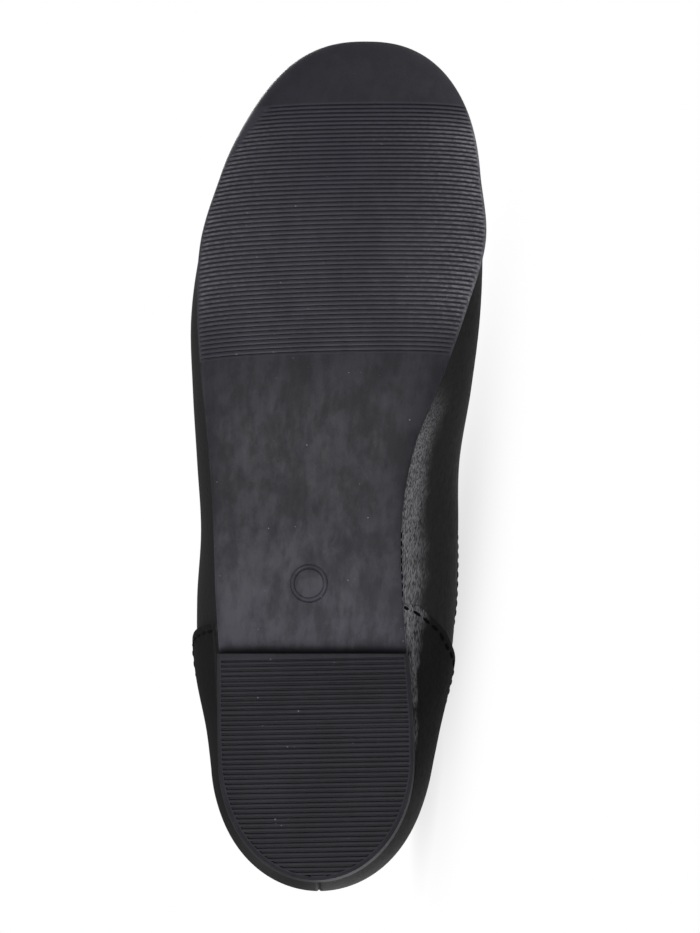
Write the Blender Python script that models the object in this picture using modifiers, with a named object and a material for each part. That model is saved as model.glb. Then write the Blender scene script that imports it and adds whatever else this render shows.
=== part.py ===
"""Over-the-knee boot for a right foot, lying on its inner side.

Frame: +X points to the toe, +Y up the shaft and away from the tread, +Z up to the outer side of the foot.
Shapes are worked out in the boot's own sizes: along (heel to toe), across (outer side positive)
and height (above the tread plane), and then laid down on the floor by place().
"""

import math

import bmesh
import bpy
from mathutils import Vector

MM = 0.001

# Driving sizes
LENGTH = 248 * MM  # back of the counter to the toe tip
WALL = 1.7 * MM  # leather with its lining
SEAM_GAP = 0.3 * MM  # clearance between pieces that meet
HEEL_SEAT = 14 * MM  # underside of the outsole at the heel
HEEL_BREAST = 66.5 * MM  # front face of the heel
FOREFOOT_START = 152 * MM  # the tread is flat on its plane from here
TOE_SPRING_START = 188 * MM  # to here, and then curls up
TOE_SPRING = 13.5 * MM
SOLE_BACK = 3.1 * MM
SOLE_THICK_HEEL = 5 * MM
SOLE_THICK_BALL = 6 * MM
SOLE_THICK_TOE = 4.5 * MM
HEEL_ROUND = 33 * MM  # length of the round end of the heel outline
TOE_ROUND = 43 * MM  # length of the round end of the toe outline
TOE_FULLNESS = 2.4  # over 2 makes the toe fuller than a circle
FEATHER_INSET = 1.2 * MM  # the upper springs from inside the sole edge
TOE_BOX = 24 * MM  # length of the round front of the toe box
NECK_START = 45 * MM
NECK_END = 110 * MM
NECK_SHARE = 0.1  # how much the ankle narrows
ANKLE_SEAM_FRONT = 101 * MM
ANKLE_SEAM_BACK_HEIGHT = 88 * MM
BOOT_HEIGHT = 540 * MM
INSOLE_THICK = 3 * MM
INSOLE_CLEARANCE = 0.8 * MM
HEEL_TAPER = 0.6 * MM  # the heel is this much wider at its top
HEEL_BEVEL = 0.8 * MM
COUNTER_THICK = 1.1 * MM
COUNTER_REACH_INNER = 77 * MM  # forward from the heel line
COUNTER_REACH_OUTER = 71.5 * MM
COUNTER_GAP = 0.4 * MM
COUNTER_LIFT = 0.6 * MM  # above the feather line
STEEP_INSTEP = 10.0  # slope of the front line above the ankle seam
SIDE_BULGE = 0.85  # under 1 makes the sides swell sooner above the feather line
LEAN = math.radians(3.8)  # the ball and the side of the heel both rest on the floor

# Counts of faces
UPPER_LEVELS = 22
LAP_LEVELS = 3  # the shaft is tucked this far inside the upper
SHAFT_LEVELS = 16
AROUND = 56
SOLE_ROWS = 32
COUNTER_ROWS = 9
COUNTER_COLUMNS = 44
EVEN_OUT = 0.12  # moves points from the ends of the foot to its waist
TOE_CROWDING = 1.2  # over 1 sets the levels closer at the toe
ANKLE_CROWDING = 0.55  # under 1 sets the shaft's levels closer at the ankle
FRONT_STEPS = 60  # finer steps in which the toe and vamp line is measured
HEEL_ROWS = 16
END_ANGLE = math.radians(4)  # where a sole's rounded end is closed by a small flat


class Table:
    """Rows of sizes in millimetres, read in metres along a smooth curve through the first column."""

    def __init__(self, columns, rows):
        self.columns = columns
        self.rows = rows

    def read(self, column, at):
        place = self.columns.index(column)
        xs = [row[0] * MM for row in self.rows]
        ys = [row[place] * MM for row in self.rows]
        at = min(max(at, xs[0]), xs[-1])
        last = len(xs) - 2
        i = min(max(sum(x <= at for x in xs) - 1, 0), last)
        span = xs[i + 1] - xs[i]
        slopes = []
        for k in (i, i + 1):
            low, high = max(k - 1, 0), min(k + 1, last + 1)
            slopes.append((ys[high] - ys[low]) / (xs[high] - xs[low]) * span)
        t = (at - xs[i]) / span
        return (
            ys[i] * (1 + 2 * t) * (1 - t) ** 2
            + slopes[0] * t * (1 - t) ** 2
            + ys[i + 1] * t * t * (3 - 2 * t)
            + slopes[1] * t * t * (t - 1)
        )


# Outline of the sole and of the widest line of the upper, each a centre line and a half width
LAST = Table(
    ("along", "sole_centre", "sole_half", "wide_centre", "wide_half", "wide_height"),
    (
        (0, 9.4, 27.0, 9.0, 29.5, 42),
        (25, 9.4, 27.0, 8.7, 29.9, 42),
        (45, 9.7, 27.2, 7.9, 32.7, 42),
        (65, 10.5, 26.7, 7.6, 36.9, 42),
        (85, 11.8, 26.6, 6.9, 38.2, 41),
        (105, 12.1, 26.9, 6.0, 38.0, 39),
        (125, 11.0, 29.4, 6.4, 38.7, 35),
        (145, 8.0, 34.5, 5.3, 40.8, 27),
        (165, 4.4, 39.4, 4.2, 42.1, 18.5),
        (185, 1.7, 41.2, 2.4, 41.0, 15),
        (205, 0.0, 37.2, 0.3, 37.6, 16),
        (225, -2.9, 33.5, -2.6, 33.6, 20),
        (248, -4.6, 30.4, -4.4, 30.6, 26),
    ),
)
# Ridge of the vamp, from the ankle to the toe box
RIDGE = Table(
    ("along", "height"),
    (
        (92, 150), (96, 128), (101, 112), (110, 96.5), (122, 83), (140, 70.5),
        (160, 60.5), (180, 53), (200, 47.5), (222, 42), (235, 39.5), (248, 37.5),
    ),
)
# Back line of the heel
HEEL_LINE = Table(
    ("height", "along"),
    ((14, 5.4), (19, 4.6), (30, 2.1), (42, 1.2), (55, 2), (70, 4.2), (88, 7.2), (110, 8.7)),
)
# Slack shaft: ovals along the floor, from low to top above it. Below the floor they are pressed flat
SHAFT = Table(
    ("height", "back", "front", "low", "top"),
    (
        (100, 9, 100, 3, 68.5),
        (150, 11.5, 105, 2.2, 70),
        (200, 14.5, 119, -1.5, 72),
        (260, 17, 137, -4.5, 74),
        (330, 18.5, 151, -5, 75),
        (430, 20, 162, -5, 76),
        (540, 21, 170, -5, 78),
    ),
)
# How far the lower edge of the sole rolls up, and the share of that at each share of its half width
EDGE_ROLL = Table(
    ("along", "rise"),
    ((0, 1), (66, 1), (115, 1.2), (140, 2.5), (165, 4.2), (200, 4.5), (230, 3.4), (248, 2.4)),
)
SOLE_PROFILE = ((1, 1), (0.94, 0.44), (0.84, 0.16), (0.6, 0))
# Top edge of the counter, from the heel line forward and down to the sole
COUNTER_EDGE = Table(
    ("ahead", "inner", "outer"),
    (
        (0, 82, 82), (12, 80.5, 81), (26, 75, 77), (42, 65, 69.5),
        (56, 53, 61), (66, 42, 52), (73, 30, 41), (79, 18, 18),
    ),
)
SHAFT_BLEND = 70 * MM  # the ankle's form turns into the slack oval over this height
OVAL_POWER = 0.92  # under 1 makes the ovals fuller than ellipses


def smooth_step(low, high, at):
    t = min(max((at - low) / (high - low), 0), 1)
    return t * t * (3 - 2 * t)


def round_end(distance, reach, fullness=2):
    if distance >= reach:
        return 1.0
    return max(0, 1 - ((reach - distance) / reach) ** fullness) ** (1 / fullness)


def sole_bottom(along):
    arch = HEEL_SEAT * (1 - smooth_step(HEEL_BREAST, FOREFOOT_START, along))
    curl = max(0, along - TOE_SPRING_START) / (LENGTH - TOE_SPRING_START)
    return arch + TOE_SPRING * curl * curl


def sole_top(along):
    thick = SOLE_THICK_HEEL + (SOLE_THICK_BALL - SOLE_THICK_HEEL) * smooth_step(
        HEEL_BREAST, FOREFOOT_START, along
    )
    thick += (SOLE_THICK_TOE - SOLE_THICK_BALL) * smooth_step(TOE_SPRING_START, LENGTH, along)
    return sole_bottom(along) + thick


def feather(along):
    return sole_top(along) + SEAM_GAP


def toe_tip(height):
    rise = smooth_step(feather(LENGTH), LAST.read("wide_height", LENGTH), height)
    return LENGTH - FEATHER_INSET * (1 - rise)


def ridge(along):
    if along < RIDGE.rows[0][0] * MM:
        return RIDGE.rows[0][1] * MM + STEEP_INSTEP * (RIDGE.rows[0][0] * MM - along)
    wide = LAST.read("wide_height", along)
    box = RIDGE.read("height", along) - wide
    return wide + box * round_end(LENGTH - along, TOE_BOX)


def sole_edge(along, side, inset=0.0, back=SOLE_BACK, tip=LENGTH):
    ends = round_end(along - back, HEEL_ROUND) * round_end(tip - along, TOE_ROUND, TOE_FULLNESS)
    half = (LAST.read("sole_half", along) - inset) * ends
    return LAST.read("sole_centre", along) + side * half


def sole_rows(back, tip):
    """Stations from toe to heel, closer together at the rounded ends."""
    for i in range(SOLE_ROWS + 1):
        angle = END_ANGLE + (math.pi - 2 * END_ANGLE) * i / SOLE_ROWS
        yield (tip + back) / 2 + (tip - back) / 2 * math.cos(angle)


def rise_above(along, across):
    return along * math.sin(LEAN) + across * math.cos(LEAN)


# The floor touches the inner edge of the sole at the ball
FLOOR = min(rise_above(along, sole_edge(along, -1)) for along in sole_rows(SOLE_BACK, LENGTH))


def across_at(along, lift):
    """Across position that lies this far above the floor."""
    return (lift + FLOOR - along * math.sin(LEAN)) / math.cos(LEAN)


def upper_edge(along, height, side):
    """Across position of the upper's outer face."""
    back = HEEL_LINE.read("along", height)
    tip = toe_tip(height)
    low = feather(along)
    wide = LAST.read("wide_height", along)
    centre = LAST.read("wide_centre", along)
    ends = round_end(along - back, HEEL_ROUND) * round_end(tip - along, TOE_ROUND, TOE_FULLNESS)
    widest = centre + side * LAST.read("wide_half", along) * ends
    if height < wide:
        start = sole_edge(along, side, FEATHER_INSET, back, tip)
        rise = max(0, (height - low) / (wide - low))
        return start + (widest - start) * math.sin(math.pi / 2 * rise) ** SIDE_BULGE
    share = min(1, (height - wide) / max(ridge(along) - wide, 1e-6))
    neck = 1 - NECK_SHARE * smooth_step(NECK_START, NECK_END, height)
    return centre + (widest - centre) * neck * math.sqrt(1 - share * share)


def front_path():
    """Points up the toe and back along the vamp to the ankle seam, with the length to each."""
    toe_low, toe_wide = feather(LENGTH), LAST.read("wide_height", LENGTH)
    points = []
    for i in range(FRONT_STEPS):
        height = toe_low + (toe_wide - toe_low) * i / FRONT_STEPS
        points.append((toe_tip(height), height))
    for i in range(FRONT_STEPS * 4 + 1):
        bend = 1 - math.cos(math.pi / 2 * i / (FRONT_STEPS * 4))
        along = LENGTH + (ANKLE_SEAM_FRONT - LENGTH) * bend
        points.append((along, ridge(along)))
    lengths = [0.0]
    for a, b in zip(points, points[1:]):
        lengths.append(lengths[-1] + math.dist(a, b))
    return points, lengths


FRONT_POINTS, FRONT_LENGTHS = front_path()


def front_point(level):
    """Level 0 is the feather line at the toe and 1 the ankle seam. The toe has closer levels."""
    target = FRONT_LENGTHS[-1] * level**TOE_CROWDING
    i = min(sum(length <= target for length in FRONT_LENGTHS) - 1, len(FRONT_LENGTHS) - 2)
    share = (target - FRONT_LENGTHS[i]) / (FRONT_LENGTHS[i + 1] - FRONT_LENGTHS[i])
    return [a + (b - a) * share for a, b in zip(FRONT_POINTS[i], FRONT_POINTS[i + 1])]


def upper_point(level, angle):
    """Point of the upper's outer face. Angle 0 is the toe line, and half a turn the heel line."""
    front, front_height = front_point(level)
    heel_low = feather(SOLE_BACK)
    back_height = heel_low + (ANKLE_SEAM_BACK_HEIGHT - heel_low) * level
    back = HEEL_LINE.read("along", back_height)
    turn = math.cos(angle + EVEN_OUT * math.sin(2 * angle))
    along = (front + back) / 2 + (front - back) / 2 * turn
    share = (along - back) / (front - back)
    height = back_height + (front_height - back_height) * share
    heel_end, toe_end = HEEL_LINE.read("along", heel_low), front_point(0)[0]
    line_below = feather(heel_end + (toe_end - heel_end) * share)
    sag = line_below - (heel_low + (feather(toe_end) - heel_low) * share)
    height += sag * (1 - level) ** 2
    side = 1 if angle % (2 * math.pi) <= math.pi else -1
    return Vector((along, upper_edge(along, height, side), height))


def face_normal(surface, u, v, step=0.02):
    across = surface(u, v + step) - surface(u, v - step)
    up = surface(min(u + step, 1), v) - surface(max(u - step, 0), v)
    return across.cross(up).normalized()


def shaft_point(step, angle):
    """Outer face of the shaft. Steps up to LAP_LEVELS follow the inside of the upper."""
    seam_level = min(1, 1 + (step - LAP_LEVELS) / UPPER_LEVELS)
    foot = upper_point(seam_level, angle)
    foot -= face_normal(upper_point, seam_level, angle) * (WALL + SEAM_GAP)
    if step <= LAP_LEVELS:
        return foot
    rise = (step - LAP_LEVELS) / (SHAFT_LEVELS - LAP_LEVELS)
    rise *= ANKLE_CROWDING + (1 - ANKLE_CROWDING) * rise
    height = foot.z + (BOOT_HEIGHT - foot.z) * rise
    back, front = SHAFT.read("back", height), SHAFT.read("front", height)
    low, top = SHAFT.read("low", height), SHAFT.read("top", height)
    cos, sin = math.cos(angle), math.sin(angle)
    along = (front + back) / 2 + (front - back) / 2 * math.copysign(abs(cos) ** OVAL_POWER, cos)
    lift = (top + low) / 2 + (top - low) / 2 * math.copysign(abs(sin) ** OVAL_POWER, sin)
    oval = Vector((along, across_at(along, lift), height))
    blend = smooth_step(foot.z, foot.z + SHAFT_BLEND, height)
    foot.z = height
    point = foot.lerp(oval, blend)
    point.y = max(point.y, across_at(point.x, 0))
    return point


def counter_point(row, column):
    """Face of the quarters under the counter. Rows run up, and columns from outer to inner edge."""
    turn = 1 - column * 2
    side, reach = ("outer", COUNTER_REACH_OUTER) if turn >= 0 else ("inner", COUNTER_REACH_INNER)
    ahead = reach * (1 - math.cos(math.pi * turn)) / 2
    low = feather(SOLE_BACK + ahead) + COUNTER_LIFT
    edge = COUNTER_EDGE.read(side, ahead)
    height = low + (edge - low) * row
    along = HEEL_LINE.read("along", height) + ahead
    return Vector((along, upper_edge(along, height, 1 if turn >= 0 else -1), height))


def place(point):
    along, across, height = point
    forward = along * math.cos(LEAN) - across * math.sin(LEAN)
    return Vector((forward, height, rise_above(along, across) - FLOOR))


def new_object(name, mesh, material):
    mesh.shade_smooth()
    mesh.set_sharp_from_angle(angle=math.radians(35))
    mesh.materials.append(material)
    obj = bpy.data.objects.new(name, mesh)
    boot.objects.link(obj)
    obj.parent = stand
    return obj


def skin(name, grid, closed, material):
    """Open surface through a grid of points, each row joined to the next."""
    bm = bmesh.new()
    rows = [[bm.verts.new(place(point)) for point in row] for row in grid]
    count = len(grid[0])
    for low, high in zip(rows, rows[1:]):
        for i in range(count if closed else count - 1):
            j = (i + 1) % count
            bm.faces.new((low[i], high[i], high[j], low[j]))
    mesh = bpy.data.meshes.new(name)
    bm.to_mesh(mesh)
    bm.free()
    return new_object(name, mesh, material)


def loft(name, rings, material):
    """Solid through rings of points, with flat ends."""
    bm = bmesh.new()
    rows = [[bm.verts.new(place(point)) for point in ring] for ring in rings]
    count = len(rings[0])
    for low, high in zip(rows, rows[1:]):
        for i in range(count):
            j = (i + 1) % count
            bm.faces.new((low[i], low[j], high[j], high[i]))
    bm.faces.new(rows[0])
    bm.faces.new(rows[-1])
    bmesh.ops.recalc_face_normals(bm, faces=bm.faces[:])
    mesh = bpy.data.meshes.new(name)
    bm.to_mesh(mesh)
    bm.free()
    return new_object(name, mesh, material)


def thicken(obj, thickness, outward):
    shell = obj.modifiers.new("wall", "SOLIDIFY")
    shell.thickness = thickness
    shell.offset = 1 if outward else -1
    shell.use_even_offset = True
    shell.thickness_clamp = 0


def finish(name, colour, roughness):
    material = bpy.data.materials.new(name)
    material.use_nodes = True
    shader = material.node_tree.nodes["Principled BSDF"]
    shader.inputs["Base Color"].default_value = (*colour, 1)
    shader.inputs["Roughness"].default_value = roughness
    shader.inputs["Metallic"].default_value = 0
    return material


def make_outsole():
    profile = [(-share, roll) for share, roll in SOLE_PROFILE] + list(SOLE_PROFILE[::-1])
    rings = []
    for along in sole_rows(SOLE_BACK, LENGTH):
        inner, outer = sole_edge(along, -1), sole_edge(along, 1)
        ring = []
        for share, roll in profile:
            across = (inner + outer) / 2 + (outer - inner) / 2 * share
            ring.append((along, across, sole_bottom(along) + EDGE_ROLL.read("rise", along) * roll))
        ring.append((along, outer, sole_top(along)))
        ring.append((along, inner, sole_top(along)))
        rings.append(ring)
    loft("outsole", rings, finish("sole_rubber", (0.035, 0.034, 0.038), 0.62))


def make_insole():
    inset = FEATHER_INSET + WALL + INSOLE_CLEARANCE
    back, tip = HEEL_LINE.read("along", feather(SOLE_BACK)) + inset, LENGTH - inset
    rings = []
    for along in sole_rows(back, tip):
        inner, outer = (sole_edge(along, side, inset, back, tip) for side in (-1, 1))
        low = sole_top(along) + SEAM_GAP
        ring = [(along, inner, low), (along, outer, low)]
        ring += [(along, outer, low + INSOLE_THICK), (along, inner, low + INSOLE_THICK)]
        rings.append(ring)
    loft("insole", rings, finish("sock_lining", (0.02, 0.02, 0.021), 0.9))


def make_heel():
    top = HEEL_SEAT - SEAM_GAP
    # Height and outward growth of each edge line
    edges = ((0, -HEEL_BEVEL), (HEEL_BEVEL, 0), (top, HEEL_TAPER))
    rings = []
    for i in range(HEEL_ROWS + 1):
        angle = (math.pi / 2 - END_ANGLE) * i / HEEL_ROWS
        ring = []
        for side in (-1, 1):
            line = []
            for height, growth in edges:
                back = SOLE_BACK - growth
                along = HEEL_BREAST - (HEEL_BREAST - back) * math.sin(angle)
                line.append((along, sole_edge(along, side, -growth, back), height))
            ring += line if side < 0 else line[::-1]
        rings.append(ring)
    loft("heel", rings, finish("heel_rubber", (0.028, 0.027, 0.03), 0.6))


def around_angles():
    return [2 * math.pi * i / AROUND for i in range(AROUND)]


def make_upper():
    grid = [
        [upper_point(k / UPPER_LEVELS, angle) for angle in around_angles()]
        for k in range(UPPER_LEVELS + 1)
    ]
    leather = finish("vamp_leather", (0.012, 0.012, 0.013), 0.42)
    thicken(skin("upper", grid, True, leather), WALL, False)


def make_shaft():
    grid = [[shaft_point(k, angle) for angle in around_angles()] for k in range(SHAFT_LEVELS + 1)]
    leather = finish("shaft_leather", (0.013, 0.013, 0.014), 0.45)
    thicken(skin("shaft", grid, True, leather), WALL, False)


def make_counter():
    grid = []
    for k in range(COUNTER_ROWS + 1):
        line = []
        for i in range(COUNTER_COLUMNS + 1):
            row, column = k / COUNTER_ROWS, i / COUNTER_COLUMNS
            inside = min(max(column, 1 / COUNTER_COLUMNS), 1 - 1 / COUNTER_COLUMNS)
            out = face_normal(counter_point, row, inside)
            line.append(counter_point(row, column) + out * COUNTER_GAP)
        grid.append(line)
    leather = finish("counter_leather", (0.012, 0.012, 0.013), 0.4)
    thicken(skin("counter", grid, False, leather), COUNTER_THICK, True)


for old in list(bpy.data.objects):
    bpy.data.objects.remove(old)
boot = bpy.data.collections.new("over_the_knee_boot")
bpy.context.scene.collection.children.link(boot)
stand = bpy.data.objects.new("stand", None)
boot.objects.link(stand)

make_outsole()
make_heel()
make_insole()
make_upper()
make_counter()
make_shaft()

# The origin is under the middle of the boot, on the floor
bpy.context.view_layer.update()
graph = bpy.context.evaluated_depsgraph_get()
corners = [
    Vector(corner)
    for obj in boot.objects
    if obj.type == "MESH"
    for corner in obj.evaluated_get(graph).bound_box
]
lows, highs = (Vector(pick(c[i] for c in corners) for i in range(3)) for pick in (min, max))
stand.location = (-(lows.x + highs.x) / 2, -(lows.y + highs.y) / 2, -lows.z)
bpy.context.view_layer.update()
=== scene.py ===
from math import cos, pi, radians, sin, tan

import bmesh
import bpy
import numpy as np
from mathutils import Matrix, Vector, noise


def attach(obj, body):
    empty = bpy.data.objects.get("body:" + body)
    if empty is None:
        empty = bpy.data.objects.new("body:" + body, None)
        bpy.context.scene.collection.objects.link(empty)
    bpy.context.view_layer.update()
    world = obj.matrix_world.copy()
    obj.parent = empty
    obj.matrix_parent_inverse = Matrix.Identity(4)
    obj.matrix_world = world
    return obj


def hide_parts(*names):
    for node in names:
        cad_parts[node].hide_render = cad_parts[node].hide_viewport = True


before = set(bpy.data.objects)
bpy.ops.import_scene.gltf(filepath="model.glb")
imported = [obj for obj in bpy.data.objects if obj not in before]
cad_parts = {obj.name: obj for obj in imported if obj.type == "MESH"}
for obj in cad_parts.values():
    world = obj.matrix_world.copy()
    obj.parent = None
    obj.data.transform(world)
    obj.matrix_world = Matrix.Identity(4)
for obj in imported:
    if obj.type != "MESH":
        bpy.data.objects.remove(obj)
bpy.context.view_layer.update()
scene = bpy.context.scene
mm = 0.001

# how the boot lies: along runs heel to toe, across to the outer side, height up from the tread
lie = dict(lean=radians(3.8), ahead=-123.47 * mm, up=-270.06 * mm, lift=27.01 * mm)
leanCos, leanSin = cos(lie["lean"]), sin(lie["lean"])

foot = dict(
    length=248 * mm, soleBack=3.1 * mm, heelRound=33 * mm, toeRound=43 * mm, toeFull=2.4,
    heelSeat=14 * mm, breast=66.5 * mm, forefoot=152 * mm, springFrom=188 * mm, spring=13.5 * mm,
    thickHeel=5 * mm, thickBall=6 * mm, thickToe=4.5 * mm, gap=0.3 * mm, featherInset=1.2 * mm,
    toeBox=24 * mm, neckFrom=45 * mm, neckTo=110 * mm, neckShare=0.1, sideBulge=0.85,
    seamFront=101 * mm, seamBack=88 * mm, wall=1.7 * mm, steepFrom=92 * mm, steep=10,
    toeRows=60, vampRows=241, frontPower=1.2, crowding=0.12, inAnkle=(55 * mm, 8 * mm, 90 * mm),
    # along, sole centre, sole half width, widest centre, widest half width, height of the widest line
    last=[
        (0, 9.4, 27, 9, 29.5, 42), (25, 9.4, 27, 8.7, 29.9, 42), (45, 9.7, 27.2, 7.9, 32.7, 42),
        (65, 10.5, 26.7, 7.6, 36.9, 42), (85, 11.8, 26.6, 6.9, 38.2, 41), (105, 12.1, 26.9, 6, 38, 39),
        (125, 11, 29.4, 6.4, 38.7, 35), (145, 8, 34.5, 5.3, 40.8, 27), (165, 5.1, 38.7, 4.2, 42.1, 18.5),
        (185, 1.9, 41, 2.4, 41, 15), (205, -0.25, 37.45, 0.1, 37.8, 16), (225, -2.9, 33.5, -2.6, 33.6, 20),
        (248, -4.6, 30.4, -4.4, 30.6, 26),
    ],
    # along, height of the vamp's ridge
    ridge=[
        (92, 150), (96, 128), (101, 112), (110, 96.5), (122, 83), (140, 70.5), (160, 60.5), (180, 53),
        (200, 47.5), (222, 42), (235, 39.5), (248, 37.5),
    ],
    # height, along of the back line
    heelLine=[(14, 5.4), (19, 4.6), (30, 2.1), (42, 1.2), (55, 2), (70, 4.2), (88, 7.2), (110, 8.7)],
)
lastColumns = ("along", "centre", "half", "wideCentre", "wideHalf", "wideHeight")


def smoothRead(rows, column, at):  # smooth curve through rows given in millimetres
    table = np.array(rows, float) * mm
    xs, ys = table[:, 0], table[:, column]
    slopes = np.empty_like(ys)
    slopes[1:-1] = (ys[2:] - ys[:-2]) / (xs[2:] - xs[:-2])
    slopes[0], slopes[-1] = (ys[1] - ys[0]) / (xs[1] - xs[0]), (ys[-1] - ys[-2]) / (xs[-1] - xs[-2])
    at = np.clip(at, xs[0], xs[-1])
    i = np.clip(np.searchsorted(xs, at, side="right") - 1, 0, len(xs) - 2)
    span = xs[i + 1] - xs[i]
    t = (at - xs[i]) / span
    bend = slopes[i] * t * (1 - t) ** 2 + slopes[i + 1] * t * t * (t - 1)
    return ys[i] * (1 + 2 * t) * (1 - t) ** 2 + ys[i + 1] * t * t * (3 - 2 * t) + bend * span


def joined(*parts):
    return np.stack(parts, -1)


def lastAt(name, along):
    return smoothRead(foot["last"], lastColumns.index(name), along)


def backLine(height):
    return smoothRead(foot["heelLine"], 1, height)


def ease(low, high, at):
    t = np.clip((at - low) / (high - low), 0, 1)
    return t * t * (3 - 2 * t)


def between(at, span):  # rises over the first two millimetre marks and falls over the last two
    a, b, c, d = np.array(span) * mm
    return ease(a, b, at) * (1 - ease(c, d, at))


def rowAt(values, share):
    return values[np.rint(share * (len(values) - 1)).astype(int)]


def roundEnd(distance, reach, full=2.0):
    return (1 - np.clip((reach - distance) / reach, 0, 1) ** full) ** (1 / full)


def soleBottom(along):
    f = foot
    curl = np.maximum(0, along - f["springFrom"]) / (f["length"] - f["springFrom"])
    return f["heelSeat"] * (1 - ease(f["breast"], f["forefoot"], along)) + f["spring"] * curl ** 2


def soleTop(along):
    f = foot
    thick = f["thickHeel"] + (f["thickBall"] - f["thickHeel"]) * ease(f["breast"], f["forefoot"], along)
    thick = thick + (f["thickToe"] - f["thickBall"]) * ease(f["springFrom"], f["length"], along)
    return soleBottom(along) + thick


def feather(along):
    return soleTop(along) + foot["gap"]


def soleEnds(along, back=foot["soleBack"], tip=foot["length"]):
    f = foot
    return roundEnd(along - back, f["heelRound"]) * roundEnd(tip - along, f["toeRound"], f["toeFull"])


def soleHalf(along):
    return lastAt("half", along) * soleEnds(along)


def soleEdge(along, side, inset=0.0, back=foot["soleBack"], tip=foot["length"]):
    half = (lastAt("half", along) - inset) * soleEnds(along, back, tip)
    return lastAt("centre", along) + side * half


def toeTip(height):
    f = foot
    wide = lastAt("wideHeight", f["length"])
    return f["length"] - f["featherInset"] * (1 - ease(feather(f["length"]), wide, height))


def ridgeLine(along):
    f = foot
    wide = lastAt("wideHeight", along)
    box = smoothRead(f["ridge"], 1, along) - wide
    steep = np.maximum(0, f["steepFrom"] - along) * f["steep"]
    return wide + box * roundEnd(f["length"] - along, f["toeBox"]) + steep


def upperEdge(along, height, side):
    f = foot
    back, tip, low = backLine(height), toeTip(height), feather(along)
    wide, centre = lastAt("wideHeight", along), lastAt("wideCentre", along)
    widest = centre + side * lastAt("wideHalf", along) * soleEnds(along, back, tip)
    start = soleEdge(along, side, f["featherInset"], back, tip)
    rise = np.clip((height - low) / (wide - low), 0, 1)
    below = start + (widest - start) * np.sin(pi / 2 * rise) ** f["sideBulge"]
    share = np.clip((height - wide) / np.maximum(ridgeLine(along) - wide, 1e-6), 0, 1)
    neck = 1 - f["neckShare"] * ease(f["neckFrom"], f["neckTo"], height)
    above = centre + (widest - centre) * neck * np.sqrt(1 - share * share)
    return np.where(height < wide, below, above)


def lengthsOf(points):
    return np.r_[0, np.cumsum(np.linalg.norm(np.diff(points, axis=0), axis=1))]


def frontLine():  # up the toe and over the vamp to the ankle seam
    f = foot
    heights = np.linspace(feather(f["length"]), lastAt("wideHeight", f["length"]), f["toeRows"], endpoint=False)
    bend = 1 - np.cos(pi / 2 * np.linspace(0, 1, f["vampRows"]))
    alongs = f["length"] + (f["seamFront"] - f["length"]) * bend
    return np.concatenate((joined(toeTip(heights), heights), joined(alongs, ridgeLine(alongs))))


toeAndVamp = frontLine()
vampLengths = lengthsOf(toeAndVamp)


def frontPoint(level):
    target = vampLengths[-1] * level ** foot["frontPower"]
    return [np.interp(target, vampLengths, toeAndVamp[:, i]) for i in range(2)]


def upperPoint(level, angle):  # level 0 is the feather line and 1 the ankle seam, angle 0 the toe line
    f = foot
    front, frontHeight = frontPoint(level)
    heelLow = feather(f["soleBack"])
    backHeight = heelLow + (f["seamBack"] - heelLow) * level
    back = backLine(backHeight)
    along = (front + back) / 2 + (front - back) / 2 * np.cos(angle + f["crowding"] * np.sin(2 * angle))
    share = (along - back) / (front - back)
    height = backHeight + (frontHeight - backHeight) * share
    heelEnd, toeEnd = backLine(heelLow), frontPoint(0.0)[0]
    sag = feather(heelEnd + (toeEnd - heelEnd) * share) - (heelLow + (feather(toeEnd) - heelLow) * share)
    height = height + sag * (1 - level) ** 2
    side = np.where(np.mod(angle, 2 * pi) <= pi, 1, -1)
    return joined(along, upperEdge(along, height, side), height)


def unit(vectors):
    return vectors / np.linalg.norm(vectors, axis=-1, keepdims=True)


def skinAt(surface, u, v, inside, step=0.02):  # point of a surface, and its normal away from a point inside
    across = surface(u, v + step) - surface(u, v - step)
    up = surface(np.minimum(u + step, 1), v) - surface(np.maximum(u - step, 0), v)
    normal = unit(np.cross(across, up))
    point = surface(u, v)
    return point, normal * np.sign(np.sum(normal * (point - np.array(inside)), -1, keepdims=True))


def layDown(points):
    along, across, height = np.moveaxis(np.asarray(points), -1, 0)
    x, z = along * leanCos - across * leanSin, along * leanSin + across * leanCos
    return joined(x + lie["ahead"], height + lie["up"], z + lie["lift"])


def footTurn(vectors):  # row frame directions as along, across, height
    x, y, z = np.moveaxis(vectors, -1, 0)
    return joined(x * leanCos + z * leanSin, z * leanCos - x * leanSin, y)


def bootSizes(points):
    return footTurn(points - np.array((lie["ahead"], lie["up"], lie["lift"])))


# Blender helpers
def mode(name):
    bpy.ops.object.mode_set(mode=name)


def only(piece):
    bpy.ops.object.select_all(action="DESELECT")
    piece.select_set(True)
    bpy.context.view_layer.objects.active = piece


def editAll(piece, operator, **settings):
    only(piece)
    mode("EDIT")
    bpy.ops.mesh.select_all(action="SELECT")
    operator(**settings)
    mode("OBJECT")


def added(name, operator, **settings):
    operator(**settings)
    piece = bpy.context.object
    piece.name = piece.data.name = name
    return piece


def readPoints(piece, kind="co"):
    flat = np.empty(len(piece.data.vertices) * 3, np.float32)
    piece.data.vertices.foreach_get(kind, flat)
    return flat.reshape(-1, 3).astype(float)


def writePoints(piece, points):
    piece.data.vertices.foreach_set("co", np.ascontiguousarray(points, np.float32).ravel())
    piece.data.update()


def gridPiece(name, columns, rows, shape, closed=False):
    piece = added(name, bpy.ops.mesh.primitive_grid_add, x_subdivisions=columns, y_subdivisions=rows, size=1)
    flat = readPoints(piece)
    writePoints(piece, layDown(shape(flat[:, 0] + 0.5, flat[:, 1] + 0.5)))
    if closed:
        editAll(piece, bpy.ops.mesh.remove_doubles, threshold=1e-6)
    return piece


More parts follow.
